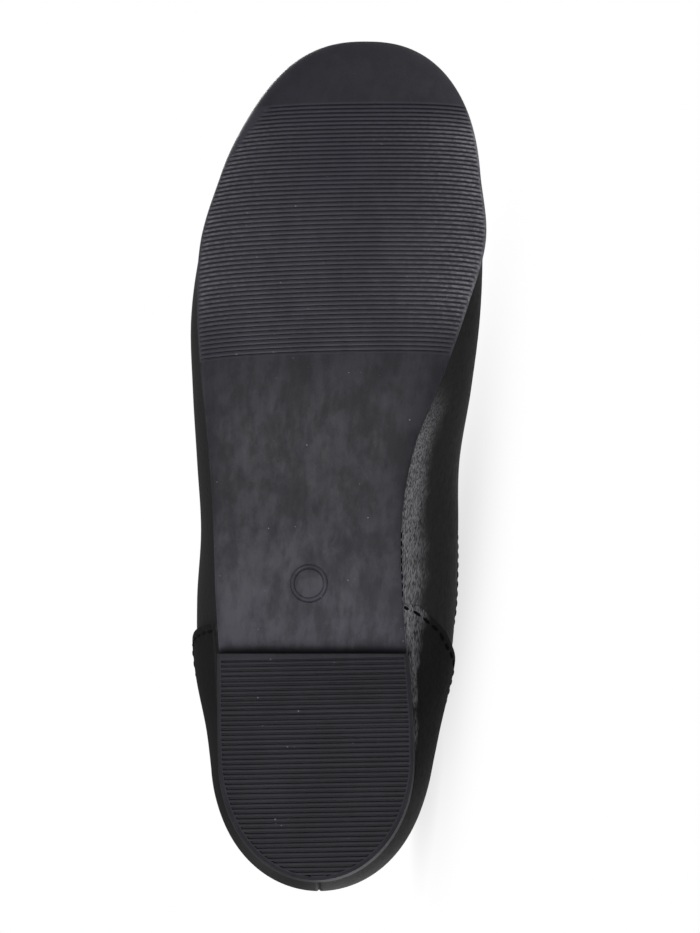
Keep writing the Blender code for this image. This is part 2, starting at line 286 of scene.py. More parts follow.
def faceOutward(piece, inside):  # turns the whole sheet round when it faces the point inside
    centre = np.array([p.center for p in piece.data.polygons])
    normal = np.array([p.normal for p in piece.data.polygons])
    if np.sum((centre - layDown(inside)) * normal) < 0:
        editAll(piece, bpy.ops.mesh.flip_normals)


def pushOut(piece, amount):
    writePoints(piece, readPoints(piece) + readPoints(piece, "normal") * amount[:, None])


def keepOffFloor(piece, least=0.05 * mm):
    points = readPoints(piece)
    points[:, 2] = np.maximum(points[:, 2], least)
    writePoints(piece, points)


def apply(piece, kind, **settings):
    only(piece)
    change = piece.modifiers.new(kind.lower(), kind)
    for key, value in settings.items():
        setattr(change, key, value)
    bpy.ops.object.modifier_apply(modifier=change.name)


def thicken(piece, thick, inside=0):
    apply(piece, "SOLIDIFY", thickness=thick, offset=-1, material_offset=inside, use_even_offset=False)


def roundEdges(piece, width, angle):
    apply(piece, "BEVEL", width=width, segments=2, limit_method="ANGLE", angle_limit=radians(angle))


def dress(piece, *names):
    for name in names:
        piece.data.materials.append(bpy.data.materials[name])


def done(piece, slot, *nodes, angle=40):
    only(piece)
    bpy.ops.object.shade_smooth_by_angle(angle=radians(angle))
    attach(piece, "root")
    if nodes:
        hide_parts(*nodes)
    print("made", piece.name, len(piece.data.polygons), "faces")


# Shader wires
def mathsNode(operation, swapped=False):
    def act(self, other):
        return self.maths(operation, *((other, self) if swapped else (self, other)))
    return act


class Wire:
    def __init__(self, tree, socket):
        self.tree, self.socket = tree, socket

    def maths(self, operation, *values):
        node = self.tree.nodes.new("ShaderNodeMath")
        node.operation = operation
        for end, value in zip(node.inputs, values):
            plug(self.tree, end, value)
        return Wire(self.tree, node.outputs[0])

    __add__, __radd__ = mathsNode("ADD"), mathsNode("ADD", True)
    __sub__, __rsub__ = mathsNode("SUBTRACT"), mathsNode("SUBTRACT", True)
    __mul__, __rmul__ = mathsNode("MULTIPLY"), mathsNode("MULTIPLY", True)
    __truediv__, __gt__, __lt__ = (mathsNode(kind) for kind in ("DIVIDE", "GREATER_THAN", "LESS_THAN"))


def plug(tree, end, value):
    if isinstance(value, Wire):
        tree.links.new(value.socket, end)
    else:
        end.default_value = value


class Finish:
    def __init__(self, name):
        material = bpy.data.materials.new(name)
        material.use_nodes = True
        self.tree = material.node_tree
        self.shader = self.tree.nodes["Principled BSDF"]
        self.place = self.node("TexCoord", out="Object")

    def node(self, kind, values=None, out=0, **settings):
        made = self.tree.nodes.new("ShaderNode" + kind)
        for key, value in settings.items():
            setattr(made, key, value)
        for key, value in (values or {}).items():
            plug(self.tree, made.inputs[key], value)
        return Wire(self.tree, made.outputs[out])

    def noise(self, scale, detail=3.0, rough=0.55, vector=None):
        return self.node("TexNoise", {
            "Vector": vector or self.place, "Scale": scale, "Detail": detail, "Roughness": rough})

    def cells(self, scale, feature="F1", out="Distance", vector=None):
        return self.node("TexVoronoi", {"Vector": vector or self.place, "Scale": scale}, out, feature=feature)

    def wave(self, direction, scale, distortion, **more):
        values = {"Vector": self.place, "Scale": scale, "Distortion": distortion, **more}
        return self.node("TexWave", values, bands_direction=direction)

    def step(self, value, low, high, outLow=0.0, outHigh=1.0):
        values = {"Value": value, "From Min": low, "From Max": high, "To Min": outLow, "To Max": outHigh}
        return self.node("MapRange", values, interpolation_type="SMOOTHSTEP")

    def blend(self, factor, low, high, kind="MIX"):
        return self.node("Mix", {0: factor, 6: rgb(low), 7: rgb(high)}, 2, data_type="RGBA", blend_type=kind)

    def dot(self, direction):
        return self.node("VectorMath", {0: self.place, 1: direction}, "Value", operation="DOT_PRODUCT")

    def along(self):
        return self.dot((leanCos, 0, leanSin)) - (lie["ahead"] * leanCos + lie["lift"] * leanSin)

    def across(self):
        return self.dot((-leanSin, 0, leanCos)) - (lie["lift"] * leanCos - lie["ahead"] * leanSin)

    def stretched(self, along, across, up, vector=None):  # a scale of its own for each of the boot's directions
        return self.node("Mapping", {
            "Vector": vector or self.place, "Rotation": (0, lie["lean"], 0), "Scale": (along, up, across)})

    def bump(self, height, strength, distance):
        return self.node("Bump", {"Height": height, "Strength": strength, "Distance": distance})

    def set(self, **values):
        for key, value in values.items():
            plug(self.tree, self.shader.inputs[key.replace("_", " ")], value)


def rgb(colour):
    if isinstance(colour, Wire):
        return colour
    return (*colour, 1.0) if isinstance(colour, tuple) else (colour,) * 3 + (1.0,)


# outsole: rolled edge, ribbed forefoot, smooth toe and waist
soleTread = dict(
    firstRib=151.5 * mm, ribs=57, pitch=1.32 * mm, grooveTop=0.34 * mm, grooveFloor=0.17 * mm,
    depth=0.9 * mm, crown=0.07 * mm, crownWidth=0.34 * mm,
    # the ribs turn and bow inside this span
    turnSpan=(120, 148, 229, 240), turn=tan(radians(1.05)), bow=1.2 * mm, bowReach=40 * mm,
    rollWidth=15 * mm, margin=0.9 * mm, outerMargin=3.4 * mm, marginFade=0.6 * mm,
    # the last three settings on the next line place the painted highlight on the rib tops near the edges
    outerFrom=203 * mm, outerTo=226 * mm, paintedGlint=9 * mm, outerGlint=0.45, glintSpan=(150, 172, 214, 227),
    roll=[(0, 1.0), (66, 1.0), (115, 1.2), (140, 2.5), (165, 4.2), (200, 4.5), (230, 3.4), (248, 2.4)],
    edgeSteps=(0, 0.22, 0.55, 1.0, 1.6, 2.4, 3.4, 4.7, 6.4, 8.6, 11.5), edgeRoom=16 * mm, middle=14,
    ribSteps=(-0.43, -0.34, -0.17, 0.17, 0.34, 0.43, 0.66),
    rows=(30, 62, 26), rowGap=1.2 * mm, ribGap=1.0 * mm,
)

# heel: rim round a ribbed tread
heelTread = dict(
    columns=192, bevel=0.8 * mm, taper=0.6 * mm, front=65.5 * mm,
    firstRib=3.0 * mm, ribs=46, pitch=1.355 * mm, groove=0.32 * mm, depth=1.2 * mm,
    rim=0.45 * mm, sliver=0.16 * mm, soften=0.1 * mm, bent=0.6, turn=radians(1.05),
)

# rubber of the sole and heel
rubberLook = dict(
    # the waist's lower tone is a painted highlight, paler towards the heel where the light falls
    toe=0.023, ribs=0.034, waist=0.019, waistLitTone=0.044, heel=0.018, ribGlint=0.26, blue=1.25,
    # the next line starts with the painted shade of the band on the waist in front of the heel
    breastShade=0.006, speck=0.13, shine=0.2, heelShine=0.12,
    toeRough=0.46, ribRough=0.5, waistRough=0.54, breastShadeRough=0.35,
    toeEdge=226.3 * mm, ribEdge=150.9 * mm, border=0.3 * mm,
    waistLitFade=(60 * mm, 116 * mm), breastShadeFrom=1.4 * mm, breastShadeTo=4.0 * mm,
    # pattern scales, the stretched ones along, across and up
    cloud=70, blot=(130, 290, 290), scratch=(70, 520, 520), glint=(1500, 850, 850), fine=1500,
    specks=330, speckSize=0.075, speckShare=0.54,
)


def grey(value, blue=rubberLook["blue"]):
    return (value, value * 0.985, value * blue)


def rubberFinish(name, heel):
    look = rubberLook
    f = Finish(name)
    along = f.along()
    cloud = f.noise(look["cloud"], 4)
    blot = f.noise(1.0, 5, 0.66, f.stretched(*look["blot"]))
    scratch = f.noise(1.0, 4, 0.62, f.stretched(*look["scratch"]))
    stain = f.step(cloud * 0.5 + blot * 0.5, 0.4, 0.6)

    def stained(tone, spread):
        return f.blend(stain, grey(tone * (1 - spread)), grey(tone * (1 + spread)))

    if heel:
        base = f.blend(stain, grey(look["heel"] * 0.86), grey(look["heel"] * 1.18))
        rough = look["ribRough"] + (blot - 0.5) * 0.2
    else:
        # painted shade in front of the heel, a dark band where the heel block shades the waist, then the mottled
        # waist
        unshaded = f.step(along, heelTread["front"] + look["breastShadeFrom"], heelTread["front"] + look["breastShadeTo"])
        # painted highlight: the waist is painted paler towards the heel
        litWaistTone = f.blend(f.step(along, *look["waistLitFade"]), grey(look["waistLitTone"]), grey(look["waist"]))
        mottled = f.blend(1.0, litWaistTone, f.blend(stain, grey(0.72, 1.0), grey(1.2, 1.0)), "MULTIPLY")
        mottled = f.blend(unshaded, grey(look["breastShade"]), mottled)
        # painted highlight: the rib tops are painted paler near the edges
        ribGlint = f.node("Attribute", out="Fac", attribute_name="paintedRibGlints")
        glint = f.step(f.noise(1.0, 3, 0.6, f.stretched(*look["glint"])), 0.36, 0.7, 0.3, 1.0)
        ribTone = f.blend(ribGlint * glint, stained(look["ribs"], 0.07), grey(look["ribGlint"], 1.06))
        across, border = f.across(), look["border"]
        rib = along + across * soleTread["turn"] + across * across * (soleTread["bow"] / soleTread["bowReach"] ** 2)
        front, toe = (f.step(rib, look[edge] - border, look[edge] + border) for edge in ("ribEdge", "toeEdge"))
        base = f.blend(toe, f.blend(front, mottled, ribTone), stained(look["toe"], 0.1))
        rough = look["waistRough"] + front * (look["ribRough"] - look["waistRough"]) - ribGlint * 0.1
        rough = rough + (1 - unshaded) * look["breastShadeRough"] + toe * (look["toeRough"] - look["ribRough"])
        rough = rough - (stain - 0.5) * 0.08 + (scratch - 0.5) * 0.2
    speck = (f.cells(look["specks"]) < look["speckSize"]) * f.step(cloud, 0.4, 0.58)
    speck = speck * (f.cells(look["specks"], out="Color") > look["speckShare"])
    f.set(Base_Color=f.blend(speck, base, grey(look["speck"], 1.05)), Roughness=rough)
    f.set(Normal=f.bump(blot * 0.6 + scratch * 0.35 + f.noise(look["fine"], 2) * 0.3, 0.4, 0.2 * mm))
    f.set(Specular_IOR_Level=look["heelShine" if heel else "shine"])


# leather: fine grain drawn out along the foot, with a painted highlight strip beside the sole on the inner side
leatherLooks = dict(
    # the last number of each look is the tone of the painted highlight strip beside the sole, none on the shaft
    vampLeather=dict(tone=0.0085, rough=0.46, shine=0.3, pebble=1500, depth=0.12 * mm, highlightTone=0.185),
    counterLeather=dict(tone=0.007, rough=0.56, shine=0.1, pebble=1600, depth=0.1 * mm, highlightTone=0.165),
    shaftLeather=dict(tone=0.0095, rough=0.5, shine=0.24, pebble=1200, depth=0.28 * mm, highlightTone=0.0),
)
leatherGrain = dict(
    sway=0.9 * mm, swayScale=320, drawn=0.42, wrinkle=520, fine=2800, patch=22,
    hair=(620, 4400, 4400), coat=0.06, coatRough=0.3,
)
# where the painted highlight strip lies beside the sole
highlightArea = dict(
    low=(19.6 * mm, 6.6 * mm), waver=5 * mm, waverScale=150,
    widen=(60 * mm, 90 * mm), width=(1.5 * mm, 6.1 * mm), fade=(1.25, 0.3),
    side=(-9 * mm, -12 * mm), back=(30 * mm, 50 * mm), front=(146 * mm, 126 * mm),
)


def highlightStrip(f):
    r = highlightArea
    along = f.along()
    low = f.step(along, foot["breast"], foot["forefoot"], *r["low"])
    above = f.dot((0, 1, 0)) - lie["up"] - low + (f.noise(r["waverScale"], 3) - 0.5) * r["waver"]
    width = f.step(along, *r["widen"], *r["width"])
    ends = f.step(along, *r["back"]) * f.step(along, *r["front"])
    return f.step(above / width, *r["fade"]) * f.step(f.across(), *r["side"]) * ends


def leatherFinish(name):
    look, g = leatherLooks[name], leatherGrain
    f = Finish(name)
    waver = f.node("TexNoise", {"Vector": f.place, "Scale": g["swayScale"], "Detail": 2}, "Color")
    sway = f.node("VectorMath", {0: waver, 1: (g["sway"],) * 3, 2: f.place}, operation="MULTIPLY_ADD")
    drawn = f.stretched(g["drawn"], 1.0, 1.0, sway)
    pebble = f.cells(look["pebble"], "SMOOTH_F1", vector=drawn)
    wrinkle = f.noise(g["wrinkle"], 4, 0.6, drawn)
    patch = f.noise(g["patch"], 3)
    grain = f.step(pebble * -0.8 + wrinkle * 0.9, -0.2, 0.35)
    tone = look["tone"]
    base = f.blend(patch * 0.5 + grain * 0.5, grey(tone * 0.68, 1.06), grey(tone * 1.25, 1.08))
    # painted highlight: a paler streaked strip beside the sole on the inner side
    if look["highlightTone"]:
        hair = f.noise(1.0, 2, 0.5, f.stretched(*g["hair"]))
        raised = f.step(hair * 0.93 + grain * 0.07, 0.34, 0.66)
        base = f.blend(highlightStrip(f), base, f.blend(raised, grey(tone * 1.3, 1.04), grey(look["highlightTone"], 1.04)))
    f.set(Base_Color=base, Roughness=look["rough"] + (patch - 0.5) * 0.14 - (grain - 0.5) * 0.1)
    f.set(Normal=f.bump(pebble * -0.7 + wrinkle * 0.7 + f.noise(g["fine"], 2) * 0.15, 0.55, look["depth"]))
    f.set(Specular_IOR_Level=look["shine"], Coat_Weight=g["coat"], Coat_Roughness=g["coatRough"])


clothLooks = dict(
    shaftLining=dict(tone=0.13, weave=950 / 6.3),
    sockCloth=dict(tone=0.022, weave=700 / 6.3),
)


def clothFinish(name):
    look = clothLooks[name]
    f = Finish(name)
    warp = f.wave("DIAGONAL", look["weave"], 0.6, **{"Detail": 1.0, "Detail Scale": 2.0})
    weave = warp * 0.6 + f.wave("Y", look["weave"], 0.6) * 0.4
    fuzz = f.noise(900, 4)
    dark, pale = grey(look["tone"] * 0.6, 1.05), grey(look["tone"] * 1.4, 1.05)
    f.set(Base_Color=f.blend(weave * 0.6 + fuzz * 0.4, dark, pale), Roughness=0.86 + (fuzz - 0.5) * 0.16)
    f.set(Normal=f.bump(weave * 0.7 + fuzz * 0.3, 0.5, 0.2 * mm), Sheen_Weight=0.2)


def threadFinish(name):
    f = Finish(name)
    twist = f.wave("DIAGONAL", 420.0, 0.3)
    fibre = f.noise(3200, 2)
    f.set(Base_Color=f.blend(twist * 0.7 + fibre * 0.3, grey(0.001, 1.0), grey(0.0025, 1.0)))
    f.set(Roughness=0.68 + (fibre - 0.5) * 0.2, Normal=f.bump(twist, 0.4, 0.12 * mm), Specular_IOR_Level=0.06)


for finishName in leatherLooks:
    leatherFinish(finishName)
for finishName in clothLooks:
    clothFinish(finishName)
rubberFinish("soleRubber", False)
rubberFinish("heelRubber", True)
threadFinish("waxedThread")
print("finishes ready")


def soleStations():
    f, s = foot, soleTread
    end = s["firstRib"] + s["pitch"] * (s["ribs"] - 1)
    heelRows, waistRows, toeRows = s["rows"]
    bend = 1 - np.cos(np.linspace(0.02, 1, heelRows) * pi / 2)
    heel = f["soleBack"] + (f["breast"] - f["soleBack"]) * bend
    waist = np.linspace(f["breast"] + s["rowGap"], s["firstRib"] - s["ribGap"], waistRows)
    ribs = (s["firstRib"] + s["pitch"] * np.arange(s["ribs"]))[:, None] + np.array(s["ribSteps"]) * mm
    bend = 1 - np.sin(np.linspace(0, 0.985, toeRows) * pi / 2)
    toe = f["length"] - (f["length"] - end - s["rowGap"]) * bend
    return np.r_[heel, waist, ribs.ravel(), toe]


def soleShares(half):  # columns stand at set distances from the edge, then spread evenly
    s = soleTread
    steps = np.array(s["edgeSteps"]) * mm * np.minimum(1, half / s["edgeRoom"])[:, None]
    sides = 1 - steps / half[:, None]
    inner = sides[:, -1:] * np.linspace(-1, 1, s["middle"] + 2)[1:-1]
    return np.concatenate((-sides, inner, sides[:, ::-1]), 1)


def grooveAt(along):
    s = soleTread
    place = (along - s["firstRib"]) / s["pitch"]
    near = np.clip(np.round(place), 0, s["ribs"] - 1)
    away = np.abs(place - near) * s["pitch"]
    cut = 1 - np.clip((away - s["grooveFloor"]) / (s["grooveTop"] - s["grooveFloor"]), 0, 1)
    inside = (place > -0.4) & (place < s["ribs"] - 0.6)
    crown = s["crown"] * np.clip((away - s["grooveTop"]) / s["crownWidth"], 0, 1) * inside
    return cut * s["depth"] - crown


def edgeDistance(along, share):
    f = foot
    back = np.clip((f["heelRound"] - (along - f["soleBack"])) / f["heelRound"], 0, 1)
    tip = np.clip((f["toeRound"] - (f["length"] - along)) / f["toeRound"], 0, 1)
    r = (np.abs(share) * soleEnds(along)) ** f["toeFull"] + np.maximum(back, tip) ** f["toeFull"]
    return np.maximum(0, 1 - r ** (1 / f["toeFull"])) * lastAt("half", along)


def edgeRoll(along, away):
    q = np.clip(1 - away / soleTread["rollWidth"], 0, 1)
    return smoothRead(soleTread["roll"], 1, along) * (1 - np.sqrt(1 - q * q))


def ribbedShare(along, share, away):  # 0 on the plain margin at the edge, which is wider outside the toe
    s = soleTread
    margin = s["margin"] + s["outerMargin"] * (share > 0) * ease(s["outerFrom"], s["outerTo"], along)
    return ease(margin - s["marginFade"], margin + s["marginFade"], away)


def paintedRibGlints(points):  # painted highlight on the tops of the ribs, strongest at the inner edge
    s = soleTread
    along, across, height = points.T
    share = (across - lastAt("centre", along)) / np.maximum(soleHalf(along), 1 * mm)
    away = edgeDistance(along, share)
    sunk = np.clip((height - soleBottom(along) - edgeRoll(along, away)) / (0.5 * s["depth"]), 0, 1)
    side = np.where(share < 0, 1.0, s["outerGlint"] * ribbedShare(along, share, away))
    return np.exp(-away / s["paintedGlint"]) * between(along, s["glintSpan"]) * side * (1 - sunk)


def makeSole():
    s = soleTread
    stations = soleStations()
    halves = soleHalf(stations)
    shares = soleShares(halves)

    def shape(u, v):
        row = np.rint(v * (len(stations) - 1)).astype(int)
        column = np.rint(u * (shares.shape[1] - 1)).astype(int)
        at, share = stations[row], shares[row, column]
        across = lastAt("centre", at) + share * halves[row]
        turned = across * s["turn"] + s["bow"] * (across / s["bowReach"]) ** 2
        along = at - turned * between(at, s["turnSpan"])
        away = edgeDistance(along, share)
        groove = grooveAt(at) * ribbedShare(along, share, away)
        height = soleBottom(along) + edgeRoll(along, away) + groove
        return joined(along, lastAt("centre", along) + share * soleHalf(along), height)

    sole = gridPiece("soleTread", shares.shape[1] - 1, len(stations) - 1, shape)
    # the edge is drawn up to the feather line and closed over
    mode("EDIT")
    bpy.ops.mesh.select_mode(type="EDGE")
    bpy.ops.mesh.select_all(action="DESELECT")
    bpy.ops.mesh.select_non_manifold()
    bpy.ops.mesh.extrude_region_move(TRANSFORM_OT_translate={"value": (0, 0.1 * mm, 0)})
    sheet = bmesh.from_edit_mesh(sole.data)
    for vert in sheet.verts:
        if vert.select:
            vert.co.y = soleTop(bootSizes(np.array(vert.co))[0]) + lie["up"]
    bmesh.update_edit_mesh(sole.data)
    bpy.ops.mesh.edge_face_add()
    mode("OBJECT")
    editAll(sole, bpy.ops.mesh.normals_make_consistent, inside=False)
    # painted highlight on the rib tops, kept on the sole as a point attribute
    paintedGlint = paintedRibGlints(bootSizes(readPoints(sole)))
    sole.data.attributes.new("paintedRibGlints", "FLOAT", "POINT").data.foreach_set("value", paintedGlint.astype(np.float32))
    dress(sole, "soleRubber")
    done(sole, "sole_rubber", "outsole", angle=32)


def heelPoint(u, v):  # three edge lines round the block: tread, bevel and seat
    f, h = foot, heelTread
    column = np.rint(u * (h["columns"] + 1)) % (h["columns"] + 1)
    height = rowAt(np.array((0, h["bevel"], f["heelSeat"] - f["gap"])), v)
    growth = rowAt(np.array((-h["bevel"], 0, h["taper"])), v)
    back, aside = f["soleBack"] - growth, 2 * column / h["columns"] - 1
    along = h["front"] - (h["front"] - back) * np.sin(pi / 2 * (1 - np.abs(aside)))
    return joined(along, soleEdge(along, np.sign(aside), -growth, back), height)


def makeHeel():
    h = heelTread
    heel = gridPiece("heelBlock", h["columns"] + 1, 2, heelPoint, True)
    mode("EDIT")
    bpy.ops.mesh.select_all(action="SELECT")
    bpy.ops.mesh.fill_holes(sides=0)
    bpy.ops.mesh.normals_make_consistent(inside=False)
    bpy.ops.mesh.select_mode(type="FACE")
    low = min(v.co.y for v in bmesh.from_edit_mesh(heel.data).verts) + 0.01 * mm

    def pick(test):
        block = bmesh.from_edit_mesh(heel.data)
        for face in block.faces:
            face.select_set(test(face))
        block.select_flush_mode()
        bmesh.update_edit_mesh(heel.data)

    pick(lambda face: face.normal.y < -0.99 and face.calc_center_median().y < low)
    bpy.ops.mesh.inset(thickness=h["rim"], depth=0)
    # the second slot marks the tread inside the rim
    dress(heel, "heelRubber", "heelRubber")
    block = bmesh.from_edit_mesh(heel.data)
    for face in block.faces:
        face.material_index = int(face.select)
    bmesh.update_edit_mesh(heel.data)
    tilt = lie["lean"] + h["turn"]
    ahead = Vector((cos(tilt), 0, sin(tilt)))
    lines = h["firstRib"] + h["pitch"] * np.arange(h["ribs"])
    for line in lines:
        for edge in (line - h["groove"], line + h["groove"]):
            pick(lambda face: face.material_index == 1)
            bpy.ops.mesh.bisect(plane_co=layDown((edge, 0.0, 0.0)), plane_no=ahead)
    bpy.ops.mesh.select_all(action="SELECT")
    bpy.ops.mesh.remove_doubles(threshold=h["sliver"])
    starts = [Vector(layDown((line, 0.0, 0.0))) @ ahead for line in lines]

    def inGroove(face):
        at = face.calc_center_median() @ ahead
        return face.material_index == 1 and min(abs(at - start) for start in starts) < h["groove"]

    pick(inGroove)
    bpy.ops.mesh.extrude_region_move(TRANSFORM_OT_translate={"value": (0, h["depth"], 0)})
    bpy.ops.mesh.select_mode(type="EDGE")
    block = bmesh.from_edit_mesh(heel.data)
    for edge in block.edges:
        bent = len(edge.link_faces) == 2 and edge.calc_face_angle(0) > h["bent"]
        edge.select_set(bent and all(v.co.y < low for v in edge.verts))
    bmesh.update_edit_mesh(heel.data)
    bpy.ops.mesh.bevel(offset=h["soften"], segments=2, affect="EDGES")
    mode("OBJECT")
    done(heel, "heel_rubber", "heel", angle=30)


# creases and folds: a soft valley with a low ridge on both sides
ridgeAway = 1.9


def trough(away, ridges, spread=1.0):
    return np.exp(-away ** 2) - ridges * np.exp(-((np.abs(away) - ridgeAway) / spread) ** 2)


# the foot's upper: one skin from the feather line to the ankle seam
footUpper = dict(
    columns=232, rows=104, inside=(110 * mm, 5 * mm, 35 * mm),
    # along, height at the crease's middle, lean of the line, half length, width, depth; on the ridge of the vamp
    creases=[
        (118, 92, 0.4, 34, 3.4, 0.9), (126, 84, 0.3, 40, 3.8, 0.8), (135, 76, 0.2, 36, 4, 0.6),
        (166, 56, 0.15, 34, 4.2, 0.45), (176, 52, 0.1, 38, 4.2, 0.5), (187, 49, 0.05, 30, 4, 0.35),
    ],
    creaseLean=0.4, creaseRise=(0.35, 0.8), creaseRidges=0.5,
    # along, height of the sewn line on the inner side, where the upper part laps over the lower
    innerSeam=[(70, 46.5), (84, 44.5), (100, 44.5), (114, 46.5), (124, 53), (129, 62), (126, 72), (118, 82)],
    lapRows=5, lapSide=15 * mm, lapStep=0.45 * mm, lapRise=(0, 1.2, 5, 16), lapSpan=(76, 84, 112, 122),
)


def vampCreases(at):
    w = footUpper
    total = np.zeros(len(at))
    for along, height, lean, reach, width, depth in w["creases"]:
        middle = lastAt("wideCentre", along * mm)
        aside = (at[:, 1] - middle) / (reach * mm)
        away = (at[:, 0] - along * mm - lean * np.abs(at[:, 1] - middle) * w["creaseLean"]) / (width * mm)
        top = ease(height * w["creaseRise"][0] * mm, height * w["creaseRise"][1] * mm, at[:, 2])
        total -= depth * mm * trough(away, w["creaseRidges"]) * np.exp(-aside ** 2) * top
    return total


def makeUpper():
    w = footUpper
    upper = gridPiece("footUpper", w["columns"], w["rows"], lambda u, v: upperPoint(v, u * 2 * pi), True)
    faceOutward(upper, w["inside"])
    at = bootSizes(readPoints(upper))
    seam = np.array(w["innerSeam"][:w["lapRows"]]) * mm
    inner = at[:, 1] < lastAt("wideCentre", at[:, 0]) - w["lapSide"]
    above = at[:, 2] - np.interp(at[:, 0], seam[:, 0], seam[:, 1])
    lap = between(above, w["lapRise"]) * between(at[:, 0], w["lapSpan"])
    pushOut(upper, vampCreases(at) + inner * lap * w["lapStep"])
    keepOffFloor(upper)
    thicken(upper, foot["wall"], 1)
    dress(upper, "vampLeather", "shaftLining")
    done(upper, "vamp_leather", "upper", angle=50)


# heel counter: a second skin over the back of the foot
heelCounter = dict(
    columns=190, rows=44, gap=0.35 * mm, thick=0.85 * mm, lift=0.6 * mm, edge=0.25 * mm,
    innerReach=77 * mm, outerReach=71.5 * mm, inside=(60 * mm, 8 * mm, 45 * mm),
    # distance ahead of the back line, height of the top edge on the inner and on the outer side
    top=[
        (0, 82, 82), (12, 80.5, 81), (26, 75, 77), (42, 65, 69.5), (56, 53, 61), (65, 42, 52.5), (70, 34, 43),
        (73, 30, 33), (79, 18, 18),
    ],
    # the outer front edge stands upright and is rounded off towards this height
    uprightFrom=0.55, round=4.2 * mm, roundHeight=42 * mm,
    seamWidth=0.3 * mm, seamDepth=0.45 * mm, seamReach=14 * mm,
    seamColumns=(-0.006, -0.004, -0.0026, -0.0016, -0.0007, 0.0007, 0.0016, 0.0026, 0.004, 0.006),
    tuck=1.6 * mm, tuckHeight=1.6 * mm, fold=0.2 * mm, foldWidth=1.7 * mm,
)


def counterAhead(column):  # columns run from the outer front edge round the heel to the inner one
    c = heelCounter
    outer = column <= 0.5
    return np.where(outer, c["outerReach"], c["innerReach"]) * (1 - np.cos(pi * (1 - 2 * column))) / 2, outer


def counterTop(ahead, outer):
    return np.where(outer, smoothRead(heelCounter["top"], 2, ahead), smoothRead(heelCounter["top"], 1, ahead))


def counterLow(ahead):
    return feather(foot["soleBack"] + ahead) + heelCounter["lift"]


def counterPoint(row, column):
    c = heelCounter
    ahead, outer = counterAhead(np.clip(column, 0, 1))
    low = counterLow(ahead)
    height = low + (counterTop(ahead, outer) - low) * row
    upright = np.where(outer, ease(c["uprightFrom"] * c["outerReach"], c["outerReach"], ahead), 0)
    start = backLine(low + (height - low) * (1 - upright))
    rise = np.clip((height - low) / (c["roundHeight"] - low), 0, 1.2)
    along = start + ahead - c["round"] * upright * rise ** 3
    return joined(along, upperEdge(along, height, np.where(outer, 1, -1)), height)


def counterExtent(column):  # height of the skin, and how steep its top edge is
    ahead, outer = counterAhead(column)
    step = 0.5 * mm
    slope = (counterTop(ahead + step, outer) - counterTop(ahead - step, outer)) / (2 * step)
    return counterTop(ahead, outer) - counterLow(ahead), np.sqrt(1 + slope ** 2)


def counterSkin(row, column):  # outer face of the skin: tucked in at the sole, folded thicker at the top edge
    c = heelCounter
    point, normal = skinAt(counterPoint, row, column, c["inside"], 0.01)
    extent, steep = counterExtent(column)
    ahead, outer = counterAhead(column)
    fromEdge = np.minimum((1 - row) * extent / steep, np.where(outer, c["outerReach"] - ahead, 1.0))
    proud = c["gap"] + c["thick"] - c["tuck"] * (1 - ease(0, c["tuckHeight"], row * extent))
    proud = proud + c["fold"] * (1 - ease(c["foldWidth"] * 0.7, c["foldWidth"], fromEdge))
    return point + normal * proud[..., None], normal


def makeCounter():
    c = heelCounter
    seamColumns = 0.5 + np.array(c["seamColumns"])
    columns = np.sort(np.r_[np.linspace(0, 1, c["columns"] - 11), seamColumns])
    rows = np.linspace(0, 1, c["rows"] + 1)
    rows = rows - 0.13 * np.sin(2 * pi * rows)
    counter = gridPiece(
        "heelCounter", len(columns) - 1, c["rows"], lambda u, v: counterSkin(rowAt(rows, v), rowAt(columns, u))[0])
    faceOutward(counter, c["inside"])
    at = bootSizes(readPoints(counter))
    away = (at[:, 1] - lastAt("wideCentre", at[:, 0])) / c["seamWidth"]
    pushOut(counter, -c["seamDepth"] * np.exp(-away ** 2) * (at[:, 0] < c["seamReach"]))
    keepOffFloor(counter)
    thicken(counter, c["thick"])
    roundEdges(counter, c["edge"], 60)
    dress(counter, "counterLeather")
    done(counter, "counter_leather", "counter", angle=50)


